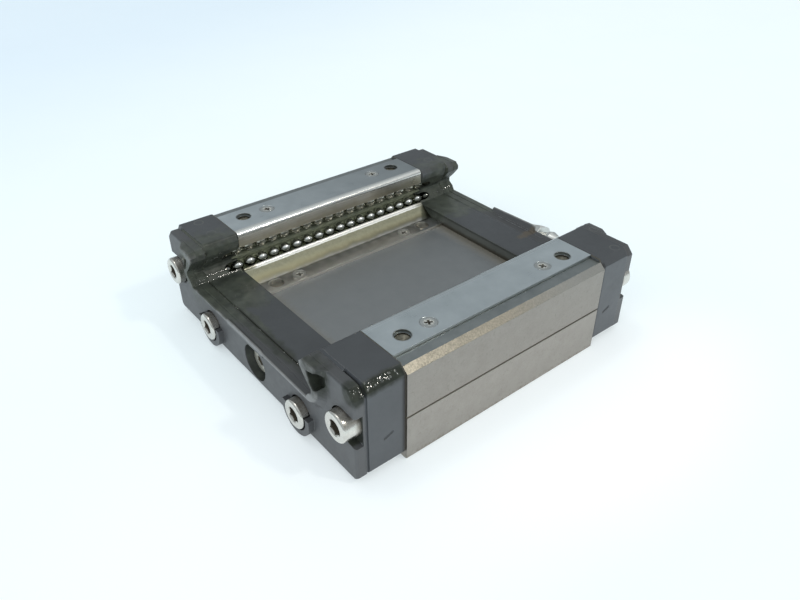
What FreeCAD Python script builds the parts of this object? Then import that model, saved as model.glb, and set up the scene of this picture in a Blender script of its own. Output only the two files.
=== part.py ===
import FreeCAD, Part
import math
import os

# Wide recirculating-ball linear guide block, lying on its mounting face.
# X: travel along the rail.  Y: across the rail.  Z: up, away from the
# mounting face (the legs point up, the rail channel is open at the top).
# The origin is the centre of the mounting face.  Millimetres.

V = FreeCAD.Vector
os.makedirs("parts", exist_ok=True)

# ---------------------------------------------------------------- dimensions
BLOCK_W = 100.0          # width of the steel body
BLOCK_L = 73.0           # length of the steel body
LEG_TOP = 29.6           # height of the bare leg top
FLOOR_Z = 13.45          # floor of the rail channel
SIDE_LINE_Z = 14.3       # fine groove along the outer sides

BALL_D = 3.969           # rolling ball
PITCH = 4.34             # ball spacing along the circuit
N_ROW = 18               # balls in each straight row
N_TURN = 3               # balls in each end turn
TURN_R = N_TURN * PITCH / math.pi
ROW_END = N_ROW * PITCH / 2.0          # straight part of the circuit, +/-
GROOVE_R = 2.20          # raceway groove
CHANNEL_R = 2.20         # return bore and turn channel
LOWER_ROW = (33.7, 17.95)              # row centre lines (|y|, z)
UPPER_ROW = (33.7, 24.20)
LOWER_RETURN_DEG = -40.0
UPPER_RETURN_DEG = -8.0

MOUNT_PX, MOUNT_PY = 50.0, 76.0        # tapped mounting holes
MOUNT_R = 3.4                          # core hole of the M8 thread
MOUNT_DEPTH = 8.2

CAP_IN = BLOCK_L / 2.0                 # end cap, along X
CAP_OUT = 47.8
CAP_GAP = 0.35                         # depth of the step against the steel
SEAL_IN = 48.4
SEAL_OUT = 51.4
LIP_OUT = 53.3
HEAD_FACE = 53.95                      # face of the end screws
HEAD_D, HEAD_H = 8.5, 5.0
SOCKET_AF = 4.0
SCREW_R = 2.5
OUTER_SCREW = (44.2, 17.4)             # (|y|, z)
INNER_SCREW = (24.5, 7.0)
PORT_Z = 7.2                           # grease port height
CROSSBAR_Z = 17.6
TONGUE = 9.8                           # half width of the lip's middle length

PLATE_T = 0.87                         # leg retainer sheet
PLATE_OUT = 44.6
PLATE_IN = 31.0
FLANGE_BOTTOM = 25.6
PLATE_ROW_Y = 39.76                    # holes and screws of the leg retainer
PLATE_HOLE_X, PLATE_SCREW_X = 29.67, 21.2
STRIP_Z0, STRIP_Z1, STRIP_Y1 = 20.4, 21.7, 36.4   # middle retainer strip
FLOOR_T = 0.85                         # floor retainer sheet
FLOOR_ROW_Y = 22.3
FLOOR_HOLE_X, FLOOR_SCREW_X = 29.85, 21.5


# ------------------------------------------------------------------- helpers
def rwire(pts, x=0.0):
    """Closed wire in the plane X = x from (y, z) or (y, z, radius) points."""
    n = len(pts)
    P = [V(x, p[0], p[1]) for p in pts]
    R = [p[2] if len(p) > 2 else 0.0 for p in pts]
    entry, leave, mids = [], [], []
    for i in range(n):
        a, b, c = P[i - 1], P[i], P[(i + 1) % n]
        if R[i] <= 0:
            entry.append(b)
            leave.append(b)
            mids.append(None)
            continue
        u, w = (a - b).normalize(), (c - b).normalize()
        half = math.acos(max(-1.0, min(1.0, u.dot(w)))) / 2.0
        d = R[i] / math.tan(half)
        bis = (u + w).normalize()
        ctr = b + bis * (R[i] / math.sin(half))
        entry.append(b + u * d)
        leave.append(b + w * d)
        mids.append(ctr - bis * R[i])
    edges = []
    for i in range(n):
        if mids[i] is not None:
            edges.append(Part.Arc(entry[i], mids[i], leave[i]).toShape())
        j = (i + 1) % n
        if (leave[i] - entry[j]).Length > 1e-7:
            edges.append(Part.LineSegment(leave[i], entry[j]).toShape())
    return Part.Wire(edges)


def prism(pts, x0, x1):
    """Solid between the planes X = x0 and X = x1."""
    return Part.Face(rwire(pts, x0)).extrude(V(x1 - x0, 0, 0))


def both(pts):
    """Complete a half outline (y >= 0) with its mirror image."""
    out = list(pts)
    for p in reversed(pts):
        if abs(p[0]) > 1e-9:
            out.append((-p[0],) + tuple(p[1:]))
    return out


def xcyl(r, x0, x1, y, z):
    return Part.makeCylinder(r, abs(x1 - x0), V(min(x0, x1), y, z), V(1, 0, 0))


def zcyl(r, z0, z1, x, y):
    return Part.makeCylinder(r, abs(z1 - z0), V(x, y, min(z0, z1)), V(0, 0, 1))


def hexprism(af, x0, x1, y, z):
    rc = af / math.sqrt(3.0)
    pts = [(y + rc * math.cos(math.radians(60 * k + 30)),
            z + rc * math.sin(math.radians(60 * k + 30))) for k in range(6)]
    return prism(pts, x0, x1)


def flip_x(s):
    return s.mirror(V(0, 0, 0), V(1, 0, 0))


def flip_y(s):
    return s.mirror(V(0, 0, 0), V(0, 1, 0))


def cut_all(base, tools):
    return base.cut(Part.makeCompound(tools)) if tools else base


def one_solid(s):
    s = s.removeSplitter()
    if len(s.Solids) == 1:
        return s.Solids[0]
    return s


def save(name, shape):
    solids = shape.Solids
    assert solids, name
    for k in solids:
        assert k.isValid(), name
    out = solids[0] if len(solids) == 1 else Part.makeCompound(solids)
    out.exportStep("parts/%s.step" % name)
    print("%-28s %2d solids %10.2f mm3" % (name, len(solids),
                                           sum(k.Volume for k in solids)))


# ------------------------------------------------------------- ball circuits
class Circuit:
    def __init__(self, row, deg, side):
        self.a = (side * row[0], row[1])
        c, s = math.cos(math.radians(deg)), math.sin(math.radians(deg))
        self.d = (side * c, s)
        self.b = (self.a[0] + 2 * TURN_R * self.d[0],
                  self.a[1] + 2 * TURN_R * self.d[1])
        self.m = (self.a[0] + TURN_R * self.d[0],
                  self.a[1] + TURN_R * self.d[1])
        self.axis = V(0, -self.d[1], self.d[0])

    def turn(self, r):
        """Half ring beyond +ROW_END."""
        disc = Part.Face(Part.Wire([Part.makeCircle(
            r, V(ROW_END, self.a[0], self.a[1]), V(1, 0, 0))]))
        return disc.revolve(V(ROW_END, self.m[0], self.m[1]), self.axis, 180)

    def spool(self, r, h, x0):
        """Half drum about the turn axis, cut flat at the plane X = x0."""
        c = V(ROW_END, self.m[0], self.m[1])
        drum = Part.makeCylinder(r, 2 * h, c - self.axis * h, self.axis)
        block = Part.makeBox(2 * r + 10, 4 * r + 40, 4 * r + 40,
                             V(ROW_END, -2 * r - 20 + self.m[0],
                               -2 * r - 20 + self.m[1]))
        half = drum.common(block)
        # straight shoulder between the drum and the steel end face
        e = V(0, self.d[0], self.d[1])
        p = [c + e * r + self.axis * h, c - e * r + self.axis * h,
             c - e * r - self.axis * h, c + e * r - self.axis * h]
        w = Part.makePolygon(p + [p[0]])
        shoulder = Part.Face(w).extrude(V(x0 - ROW_END, 0, 0))
        return half.fuse(shoulder).removeSplitter()


SIDES = (("left", 1.0), ("right", -1.0))
LEVELS = (("lower", LOWER_ROW, LOWER_RETURN_DEG),
          ("upper", UPPER_ROW, UPPER_RETURN_DEG))
CIRCUITS = {}
for side_name, side in SIDES:
    for level, row, deg in LEVELS:
        CIRCUITS[side_name + "_" + level] = Circuit(row, deg, side)

# -------------------------------------------------------- steel carriage body
HX = BLOCK_L / 2.0
HW = BLOCK_W / 2.0
LAND_Y = 35.3            # inner wall between the two grooves
UP_WALL_Y = 32.35        # inner wall above the upper groove


def arc_pts(c, r, a0, a1, n=1):
    return [(c[0] + r * math.cos(math.radians(a0 + (a1 - a0) * k / n)),
             c[1] + r * math.sin(math.radians(a0 + (a1 - a0) * k / n)))
            for k in range(n + 1)]


def body_half_wire(x):
    """Right half of the body section as a list of edges, then mirrored."""
    yl, zl = LOWER_ROW
    yu, zu = UPPER_ROW
    a_u0 = 180.0 - math.degrees(math.acos((yu - UP_WALL_Y) / GROOVE_R))
    a_u1 = -math.degrees(math.acos((LAND_Y - yu) / GROOVE_R))
    a_l0 = math.degrees(math.acos((LAND_Y - yl) / GROOVE_R))
    a_l1 = -112.0
    g = 0.45
    lines_a = [(0, 0), (HW - 0.5, 0), (HW, 0.5), (HW, SIDE_LINE_Z - 0.36),
               (HW - g, SIDE_LINE_Z - 0.18), (HW - g, SIDE_LINE_Z + 0.18),
               (HW, SIDE_LINE_Z + 0.36), (HW, 28.0), (48.16, LEG_TOP),
               (UP_WALL_Y + 0.7, LEG_TOP), (UP_WALL_Y, LEG_TOP - 0.7)]
    up = arc_pts(UPPER_ROW, GROOVE_R, a_u0, a_u1, 2)
    lo = arc_pts(LOWER_ROW, GROOVE_R, a_l0, a_l1, 2)
    slot = [(LAND_Y, STRIP_Z1), (STRIP_Y1, STRIP_Z1), (STRIP_Y1, STRIP_Z0),
            (LAND_Y, STRIP_Z0)]
    tail = [(32.2, 15.5), (30.6, FLOOR_Z), (0, FLOOR_Z)]

    def vec(p, s):
        return V(x, s * p[0], p[1])

    def side_edges(s):
        e = []

        def run(ps):
            for p, q in zip(ps[:-1], ps[1:]):
                e.append(Part.LineSegment(vec(p, s), vec(q, s)).toShape())
        run(lines_a + [up[0]])
        e.append(Part.Arc(*[vec(p, s) for p in up]).toShape())
        run([up[2]] + slot + [lo[0]])
        e.append(Part.Arc(*[vec(p, s) for p in lo]).toShape())
        run([lo[2]] + tail)
        return e
    return side_edges(1.0) + side_edges(-1.0)


section = Part.Wire(Part.__sortEdges__(body_half_wire(-HX)))
body = Part.Face(section).extrude(V(BLOCK_L, 0, 0))

tools = []
for sx in (-1, 1):
    for sy in (-1, 1):
        # tapped mounting holes in the underside, with drill point
        cx, cy = sx * MOUNT_PX / 2, sy * MOUNT_PY / 2
        tools.append(zcyl(MOUNT_R, -1.0, MOUNT_DEPTH, cx, cy))
        tools.append(Part.makeCone(MOUNT_R, 0.0, 1.9, V(cx, cy, MOUNT_DEPTH),
                                   V(0, 0, 1)))
        tools.append(Part.makeCone(MOUNT_R + 0.4, MOUNT_R, 0.4, V(cx, cy, 0),
                                   V(0, 0, 1)))
        # tapped holes for the end screws
        for y, z in (OUTER_SCREW, INNER_SCREW):
            tools.append(xcyl(SCREW_R, sx * (HX - 11.0), sx * (HX + 1.0),
                              sy * y, z))
            tools.append(Part.makeCone(SCREW_R, 0.0, 1.4,
                                       V(sx * (HX - 11.0), sy * y, z),
                                       V(-sx, 0, 0)))
        # leg retainer: tapped hole with countersink, and shallow pin spot
        px, py = sx * PLATE_SCREW_X, sy * PLATE_ROW_Y
        tools.append(zcyl(1.25, 25.9, LEG_TOP + 1, px, py))
        tools.append(Part.makeCone(1.25, 1.55, 0.3, V(px, py, LEG_TOP - 0.3),
                                   V(0, 0, 1)))
        px = sx * PLATE_HOLE_X
        tools.append(zcyl(2.1, 29.05, LEG_TOP + 1, px, py))
        tools.append(Part.makeCone(0.0, 2.1, 0.75, V(px, py, 28.3),
                                   V(0, 0, 1)))
        # floor retainer: tapped holes
        fx, fy = sx * FLOOR_SCREW_X, sy * FLOOR_ROW_Y
        tools.append(zcyl(1.25, 8.8, FLOOR_Z + 1, fx, fy))
        tools.append(Part.makeCone(1.25, 1.55, 0.3, V(fx, fy, FLOOR_Z - 0.3),
                                   V(0, 0, 1)))
for c in CIRCUITS.values():
    tools.append(xcyl(CHANNEL_R, -HX - 1, HX + 1, c.b[0], c.b[1]))
body = one_solid(cut_all(body, tools))
save("carriage_body", body)

# ------------------------------------------------------------------ end caps
CAP_HALF = [(0, 1.7), (48.4, 1.7, 0.9), (49.45, 2.8, 0.6), (49.45, 28.1, 0.3),
            (47.7, 30.45, 0.3), (31.6, 30.45, 1.3), (30.4, 28.6, 1.0),
            (30.7, 26.4, 1.5), (32.6, 23.0, 0.6), (33.45, 22.0, 0.3),
            (34.0, 21.1, 0.35), (33.45, 20.2, 0.3), (32.6, 19.2, 0.4),
            (31.0, CROSSBAR_Z, 0.5), (0, CROSSBAR_Z)]
cap = prism(both(CAP_HALF), CAP_IN + CAP_GAP, CAP_OUT)
# the cap meets the steel with a slightly smaller outline
inner = Part.Face(rwire(both(CAP_HALF), CAP_IN)).makeOffset2D(-0.45)
cap = cap.fuse(inner.extrude(V(CAP_GAP, 0, 0)))

tools = []
spool_r = TURN_R - math.sqrt(CHANNEL_R ** 2 - 1.9 ** 2)
guides = []
for c in CIRCUITS.values():
    load = xcyl(CHANNEL_R, CAP_IN - 1, ROW_END, c.a[0], c.a[1])
    back = xcyl(CHANNEL_R, CAP_IN - 1, ROW_END, c.b[0], c.b[1])
    ring = c.turn(CHANNEL_R)
    drum = c.spool(spool_r, 1.9, CAP_IN)
    tools += [load, back, ring, drum]
    guides.append(one_solid(drum.cut(Part.makeCompound([ring, load, back]))))
for sy in (-1, 1):
    for y, z in (OUTER_SCREW, INNER_SCREW):
        tools.append(xcyl(SCREW_R + 0.25, CAP_IN - 1, CAP_OUT + 1, sy * y, z))
    # sockets for the ends of the middle retainer strips
    tools.append(prism([(sy * 33.4, STRIP_Z0), (sy * STRIP_Y1, STRIP_Z0),
                        (sy * STRIP_Y1, STRIP_Z1), (sy * 33.4, STRIP_Z1)],
                       CAP_IN - 1, 38.4))
    # grease groove on the inner face, from the port to the turns
    tools.append(prism([(0, PORT_Z - 0.6), (sy * 34.6, PORT_Z + 2.4),
                        (sy * 34.6, PORT_Z + 3.6), (0, PORT_Z + 0.6)],
                       CAP_IN - 1, CAP_IN + 0.8))
# threaded grease port and the bore behind it
tools.append(xcyl(3.0, 40.5, CAP_OUT + 1, 0, PORT_Z))
tools.append(xcyl(1.4, CAP_IN - 1, 41.0, 0, PORT_Z))
# shallow mould recess under the crossbar
tools.append(Part.makeBox(7.0, 26.0, 1.6, V(38.8, -13.0, 1.2)))
cap = one_solid(cut_all(cap, tools))


def dimple(x, side, lean):
    """Slanting mould mark on the side face of a cap."""
    c = V(x, side * 49.45, 11.6)
    a = math.radians(lean)
    d = V(math.cos(a), 0, math.sin(a))
    n = V(0, side, 0)
    ends = [Part.makeSphere(0.62, c + d * k - V(0, -side * 0.22, 0))
            for k in (-1.15, 1.15)]
    rod = Part.makeCylinder(0.62, 2.3, c - d * 1.15 + n * 0.22, d)
    return rod.fuse(ends)


for name, shape, sx in (("rear", cap, 1), ("front", flip_x(cap), -1)):
    marks = [dimple(sx * 41.8, -1, 22), dimple(sx * 41.8, 1, -22)]
    save("end_cap_" + name, one_solid(shape.cut(Part.makeCompound(marks))))
guides = Part.makeCompound(guides)
save("return_guides_rear", guides)
save("return_guides_front", flip_x(guides))

# ----------------------------------------------------------------- end seals
SEAL_HALF = [(0, 1.1), (48.0, 1.1, 0.8), (49.1, 2.2, 0.8), (49.1, 27.3, 0.4),
             (46.9, 29.75, 0.5), (31.0, 29.75, 1.4), (29.5, 28.6, 0.9),
             (29.5, 26.8, 0.9), (31.9, 24.0, 1.0), (33.9, 21.9, 0.6),
             (33.9, 20.6, 0.6), (32.1, 19.3, 0.6), (31.2, 17.75, 0.6),
             (0, 17.75)]
seal = prism(both(SEAL_HALF), SEAL_IN, SEAL_OUT)
# rounded outer rim of the front face, clear of the rail contour
rim = [e for e in seal.Edges
       if e.BoundBox.XMin > SEAL_OUT - 1e-6
       and (max(abs(e.BoundBox.YMin), abs(e.BoundBox.YMax)) > 45.0
            and e.BoundBox.ZMin > 2.15
            and min(abs(e.BoundBox.YMin), abs(e.BoundBox.YMax)) > 46.0)]
seal = seal.makeFillet(0.8, rim)
# set-back neck that stands against the end cap
NECK_HALF = [(0, 2.6), (48.2, 2.6), (48.2, 27.6), (46.9, 29.0), (32.0, 29.0),
             (30.9, 28.2), (31.2, 26.8), (33.2, 24.4), (35.0, 22.2),
             (35.0, 20.2), (33.3, 18.6), (32.2, 16.7), (0, 16.7)]
seal = seal.fuse(prism(both(NECK_HALF), CAP_OUT, SEAL_IN))

# wiping lip: flares outwards along the rail contour
LIP_IN = [(29.5, 28.2), (29.5, 26.9), (31.9, 24.0), (33.9, 21.9),
          (33.9, 20.6), (32.1, 19.3), (31.2, 17.75)]
LIP_BASE = [(33.4, 14.2), (36.6, 16.2), (38.4, 19.4), (38.7, 22.0),
            (38.8, 25.0), (39.0, 29.75)]
LIP_RIM = [(32.3, 17.15), (34.3, 18.5), (35.6, 20.6), (35.7, 22.4),
           (35.4, 25.0), (35.8, 29.4)]


def lip_ring(inner, outer, x, z_out, z_in):
    half = [(0, z_out)] + outer + [(30.8, outer[-1][1])] + inner + [(0, z_in)]
    pts = [V(x, p[0], p[1]) for p in both(half)]
    return Part.makePolygon(pts + [pts[0]])


lip = Part.makeLoft([lip_ring(LIP_IN, LIP_BASE, SEAL_OUT - 0.3, 14.2, 17.75),
                     lip_ring(LIP_IN, LIP_RIM, LIP_OUT, 17.15, 17.75)],
                    True, True)
seal = seal.fuse(lip)
# cups under the inner screws
for sy in (-1, 1):
    y, z = sy * INNER_SCREW[0], INNER_SCREW[1]
    cup = xcyl(6.4, SEAL_IN, 53.2, y, z)
    keep = Part.makeBox(10, 20, 9.0, V(SEAL_IN - 1, y - 10, -0.6))
    seal = seal.fuse(cup.common(keep))
tools = []
for sy in (-1, 1):
    y, z = sy * INNER_SCREW[0], INNER_SCREW[1]
    tools.append(xcyl(4.7, HEAD_FACE - HEAD_H, 56, y, z))
    tools.append(xcyl(SCREW_R + 0.25, CAP_OUT - 1, 56, y, z))
    y, z = sy * OUTER_SCREW[0], OUTER_SCREW[1]
    tools.append(xcyl(4.7, HEAD_FACE - HEAD_H, 56, y, z))
    tools.append(xcyl(SCREW_R + 0.25, CAP_OUT - 1, 56, y, z))
    tools.append(prism([(y, z - 4.7), (sy * 52, z - 5.7), (sy * 52, z + 4.3),
                        (y, z + 4.7)], HEAD_FACE - HEAD_H, 56))
    # pocket behind the upper lobe of the lip, shallower towards the outside
    pocket = prism([(sy * 32.3, 27.0, 0.3), (sy * 36.4, 28.2, 0.4),
                    (sy * 38.4, 27.4, 0.5), (sy * 38.0, 24.6, 0.5),
                    (sy * 36.2, 22.7, 0.4), (sy * 34.8, 22.3, 0.3),
                    (sy * 33.7, 23.7, 0.3)], 50.2, 56)
    wedge = [V(50.2, sy * 31.0, 20), V(57, sy * 31.0, 20), V(57, sy * 41.0, 20),
             V(52.6, sy * 41.0, 20), V(50.2, sy * 34.4, 20)]
    wedge = Part.Face(Part.makePolygon(wedge + wedge[:1])).extrude(V(0, 0, 10))
    tools.append(pocket.common(wedge))
# window round the grease port
tools.append(xcyl(5.7, CAP_OUT - 1, 56, -0.6, PORT_Z + 0.7))
seal = one_solid(cut_all(seal, tools))


def tongue(half, z_left, z_right, x_top):
    """Middle length of the lip, bent up a little out of line with the rest."""
    def sheet(x, lift):
        return Part.makePolygon([V(x, p[0], p[1]) for p in (
            (half, 16.4), (half, z_left * lift + 17.3 * (1 - lift)),
            (-half + 1.4, z_right * lift + 17.3 * (1 - lift)),
            (-half, (z_right - 0.45) * lift + 17.2 * (1 - lift)),
            (-half, 16.4), (half, 16.4))])
    return Part.makeLoft([sheet(51.6, 0.0), sheet(x_top, 0.9),
                          sheet(LIP_OUT, 1.0)], True, True)


save("end_seal_rear", one_solid(seal.fuse(tongue(TONGUE, 18.95, 19.55, 52.7))))
save("end_seal_front", flip_x(one_solid(
    seal.fuse(tongue(TONGUE, 18.15, 18.25, 52.7)))))

# ------------------------------------------------------- screws of the ends
def cap_screw(y, z):
    x1 = HEAD_FACE
    x0 = HEAD_FACE - HEAD_H
    r = HEAD_D / 2
    prof = [V(x0, 0, 0), V(x0, r, 0), V(x1 - 0.75, r, 0)]
    e = [Part.LineSegment(prof[0], prof[1]).toShape(),
         Part.LineSegment(prof[1], prof[2]).toShape()]
    k = 0.75 * (1 - math.sqrt(0.5))
    e.append(Part.Arc(prof[2], V(x1 - k, r - k, 0), V(x1, r - 0.75, 0))
             .toShape())
    e.append(Part.LineSegment(V(x1, r - 0.75, 0), V(x1, 0, 0)).toShape())
    e.append(Part.LineSegment(V(x1, 0, 0), V(x0, 0, 0)).toShape())
    head = Part.Face(Part.Wire(e)).revolve(V(0, 0, 0), V(1, 0, 0), 360)
    head.translate(V(0, y, z))
    tip = HX - 10.0
    shank = xcyl(SCREW_R - 0.05, tip + 0.6, x0 + 0.2, y, z)
    point = Part.makeCone(SCREW_R - 0.6, SCREW_R - 0.05, 0.6, V(tip, y, z),
                          V(1, 0, 0))
    s = head.fuse([shank, point])
    rc = SOCKET_AF / math.sqrt(3.0)
    s = s.cut(hexprism(SOCKET_AF, x1 - 2.6, x1 + 1, y, z))
    s = s.cut(Part.makeCone(rc - 0.35, rc + 0.15, 0.5, V(x1 - 0.5, y, z),
                            V(1, 0, 0)))
    return one_solid(s)


screws = Part.makeCompound([cap_screw(sy * p[0], p[1])
                            for sy in (-1, 1) for p in (OUTER_SCREW, INNER_SCREW)])
save("end_screws_rear", screws)
save("end_screws_front", flip_x(screws))

# -------------------------------------- grease plug and angled grease nipple
plug = xcyl(3.9, CAP_OUT, CAP_OUT + 1.5, 0, PORT_Z)
plug = plug.makeChamfer(0.35, [e for e in plug.Edges
                               if e.BoundBox.XMin > CAP_OUT + 1.4])
plug = plug.fuse(xcyl(2.95, 43.0, CAP_OUT + 0.2, 0, PORT_Z))
plug = plug.cut(hexprism(3.0, CAP_OUT - 1.2, CAP_OUT + 3, 0, PORT_Z))
save("grease_plug_front", flip_x(one_solid(plug)))

NIP_X = 64.2                                 # axis of the angled branch
NIP_TILT = math.radians(16.0)                # branch points to -Y, tilted up
nip_n = V(0, -math.cos(NIP_TILT), math.sin(NIP_TILT))
nip_u = V(0, math.sin(NIP_TILT), math.cos(NIP_TILT))
nip_o = V(NIP_X, 0, PORT_Z)
NIP_AF = 8.4


def nip_ring(s0, s1, r0, r1):
    """Length of the branch between s0 and s1 along its axis."""
    if abs(r0 - r1) < 1e-9:
        return Part.makeCylinder(r0, s1 - s0, nip_o + nip_n * s0, nip_n)
    return Part.makeCone(r0, r1, s1 - s0, nip_o + nip_n * s0, nip_n)


rc = NIP_AF / math.sqrt(3.0)
corners = []
for i in range(6):
    t = math.radians(60 * i)
    corners.append(nip_o - nip_n * 4.2 + V(1, 0, 0) * (rc * math.sin(t))
                   + nip_u * (rc * math.cos(t)))
hexa = Part.Face(Part.makePolygon(corners + [corners[0]])) \
    .extrude(nip_n * 9.6)
# turned ends of the hexagon
hexa = hexa.common(nip_ring(-4.2, -3.5, rc - 0.75, rc)
                   .fuse([nip_ring(-3.5, 4.7, rc, rc),
                          nip_ring(4.7, 5.4, rc, rc - 0.75)]))
nipple = hexa.fuse([
    xcyl(2.95, 43.0, CAP_OUT + 0.2, 0, PORT_Z),
    xcyl(4.3, CAP_OUT, CAP_OUT + 1.4, 0, PORT_Z),
    xcyl(3.3, CAP_OUT + 1.2, NIP_X, 0, PORT_Z),
    nip_ring(5.2, 7.6, 2.25, 2.25), nip_ring(7.6, 8.4, 2.25, 2.85),
    nip_ring(8.4, 9.7, 2.85, 2.85), nip_ring(9.7, 12.0, 2.85, 1.65)])
# grease passage, ball seat and mouth
BALL_S, NIP_BALL_R = 10.4, 1.0
nipple = nipple.cut(Part.makeCompound([
    xcyl(1.2, 42.0, NIP_X, 0, PORT_Z), nip_ring(0.0, BALL_S - 0.2, 1.3, 1.3)]))
nipple = nipple.cut(nip_ring(BALL_S - 0.2, BALL_S + 0.85, 1.3, 0.62))
nipple = nipple.cut(nip_ring(BALL_S + 0.8, 13.0, 0.62, 0.62))
nipple = one_solid(nipple)
save("grease_nipple", nipple)
save("grease_nipple_ball", Part.makeSphere(
    NIP_BALL_R, nip_o + nip_n * (BALL_S - 0.2)))

# ------------------------------------------------------------ leg retainers
ro, ri = 1.27, 0.4
k = math.sqrt(0.5)
top = LEG_TOP + PLATE_T
e = []
p0, p1 = (PLATE_OUT, LEG_TOP), (PLATE_OUT, top)
p2, p3 = (PLATE_IN + ro, top), (PLATE_IN, top - ro)
p4, p5 = (PLATE_IN, FLANGE_BOTTOM), (PLATE_IN + PLATE_T, FLANGE_BOTTOM)
p6, p7 = (PLATE_IN + PLATE_T, LEG_TOP - ri), (PLATE_IN + PLATE_T + ri, LEG_TOP)


def v0(p):
    return V(-HX, p[0], p[1])


e.append(Part.LineSegment(v0(p0), v0(p1)).toShape())
e.append(Part.LineSegment(v0(p1), v0(p2)).toShape())
e.append(Part.Arc(v0(p2), v0((PLATE_IN + ro - ro * k, top - ro + ro * k)),
                  v0(p3)).toShape())
e.append(Part.LineSegment(v0(p3), v0(p4)).toShape())
e.append(Part.LineSegment(v0(p4), v0(p5)).toShape())
e.append(Part.LineSegment(v0(p5), v0(p6)).toShape())
e.append(Part.Arc(v0(p6), v0((p7[0] - ri * k, p6[1] + ri * k)),
                  v0(p7)).toShape())
e.append(Part.LineSegment(v0(p7), v0(p0)).toShape())
plate = Part.Face(Part.Wire(e)).extrude(V(BLOCK_L, 0, 0))
tools = []
for sx in (-1, 1):
    tools.append(zcyl(2.3, LEG_TOP - 1, top + 1, sx * PLATE_HOLE_X, PLATE_ROW_Y))
    tools.append(zcyl(1.4, LEG_TOP - 1, top + 1, sx * PLATE_SCREW_X, PLATE_ROW_Y))
    tools.append(Part.makeCone(2.42 - PLATE_T - 0.02, 2.42, PLATE_T + 0.02,
                               V(sx * PLATE_SCREW_X, PLATE_ROW_Y, LEG_TOP),
                               V(0, 0, 1)))
plate = one_solid(cut_all(plate, tools))
save("leg_retainer_left", plate)
save("leg_retainer_right", flip_y(plate))


# ------------------------------------------------------- cross-recess screws
def recess_screw(x, y, z_top, length, turn):
    """Small countersunk screw, head flush with z_top."""
    rh, rs = 2.33, 1.2
    zt = z_top - 0.05
    cone = Part.makeCone(rs, rh, rh - rs, V(x, y, zt - (rh - rs)), V(0, 0, 1))
    shank = zcyl(rs, zt - length, zt - (rh - rs) + 0.05, x, y)
    s = cone.fuse(shank)
    for a in (turn, turn + 90):
        blade = Part.makeBox(2.7, 0.62, 1.2, V(-1.35, -0.31, 0))
        wedge = Part.makeBox(4, 2, 4, V(0, -1, 0))
        left = wedge.copy()
        left.rotate(V(0, 0, 0), V(0, 1, 0), 28)
        left.translate(V(0.62, 0, 0))
        right = left.mirror(V(0, 0, 0), V(1, 0, 0))
        blade = blade.cut(Part.makeCompound([left, right]))
        blade.rotate(V(0, 0, 0), V(0, 0, 1), a)
        blade.translate(V(x, y, zt - 0.95))
        s = s.cut(blade)
    return one_solid(s)


for side_name, side in SIDES:
    group = [recess_screw(sx * PLATE_SCREW_X, side * PLATE_ROW_Y, top, 4.3,
                          20 + 31 * sx + 17 * side) for sx in (-1, 1)]
    save("leg_retainer_screws_" + side_name, Part.makeCompound(group))

# ---------------------------------------------------------- floor retainers
a = math.radians(34.0)
ca, sa = math.cos(a), math.sin(a)
z0, z1 = FLOOR_Z, FLOOR_Z + FLOOR_T
bend = 25.2                                   # start of the wing, upper face
wing = 6.2                                    # length of the wing
hem_r = 0.62
t2 = FLOOR_T * math.tan(a / 2)
tip_u = (bend + wing * ca, z1 + wing * sa)
tip_l = (tip_u[0] + FLOOR_T * sa, tip_u[1] - FLOOR_T * ca)
pts = [(18.9, z0), (bend + t2, z0, 1.6), tip_l, tip_u, (bend, z1, 0.9),
       (18.9, z1)]
# |y| grows from the flange to the lip
wing_solid = prism(pts, -HX, HX)
hem_c = ((tip_u[0] + tip_l[0]) / 2, (tip_u[1] + tip_l[1]) / 2)
hem = xcyl(hem_r, -HX, HX, hem_c[0] + 0.05, hem_c[1] + 0.12)
floor_plate = wing_solid.fuse(hem)
tools = []
for sx in (-1, 1):
    tools.append(zcyl(2.3, z0 - 1, z1 + 1, sx * FLOOR_HOLE_X, FLOOR_ROW_Y))
    tools.append(zcyl(1.4, z0 - 1, z1 + 1, sx * FLOOR_SCREW_X, FLOOR_ROW_Y))
    tools.append(Part.makeCone(2.42 - FLOOR_T - 0.02, 2.42, FLOOR_T + 0.02,
                               V(sx * FLOOR_SCREW_X, FLOOR_ROW_Y, z0),
                               V(0, 0, 1)))
floor_plate = one_solid(cut_all(floor_plate, tools))
save("floor_retainer_left", floor_plate)
save("floor_retainer_right", flip_y(floor_plate))
for side_name, side in SIDES:
    group = [recess_screw(sx * FLOOR_SCREW_X, side * FLOOR_ROW_Y, z1, 4.6,
                          35 - 23 * sx + 11 * side) for sx in (-1, 1)]
    save("floor_retainer_screws_" + side_name, Part.makeCompound(group))

# --------------------------------------------------- middle retainer strips
strip = prism([(33.9, STRIP_Z0 + 0.35, 0.15), (34.5, STRIP_Z0),
               (STRIP_Y1, STRIP_Z0), (STRIP_Y1, STRIP_Z1), (34.5, STRIP_Z1),
               (33.9, STRIP_Z1 - 0.35, 0.15)], -38.4, 38.4)
save("mid_retainer_left", strip)
save("mid_retainer_right", flip_y(strip))

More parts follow.
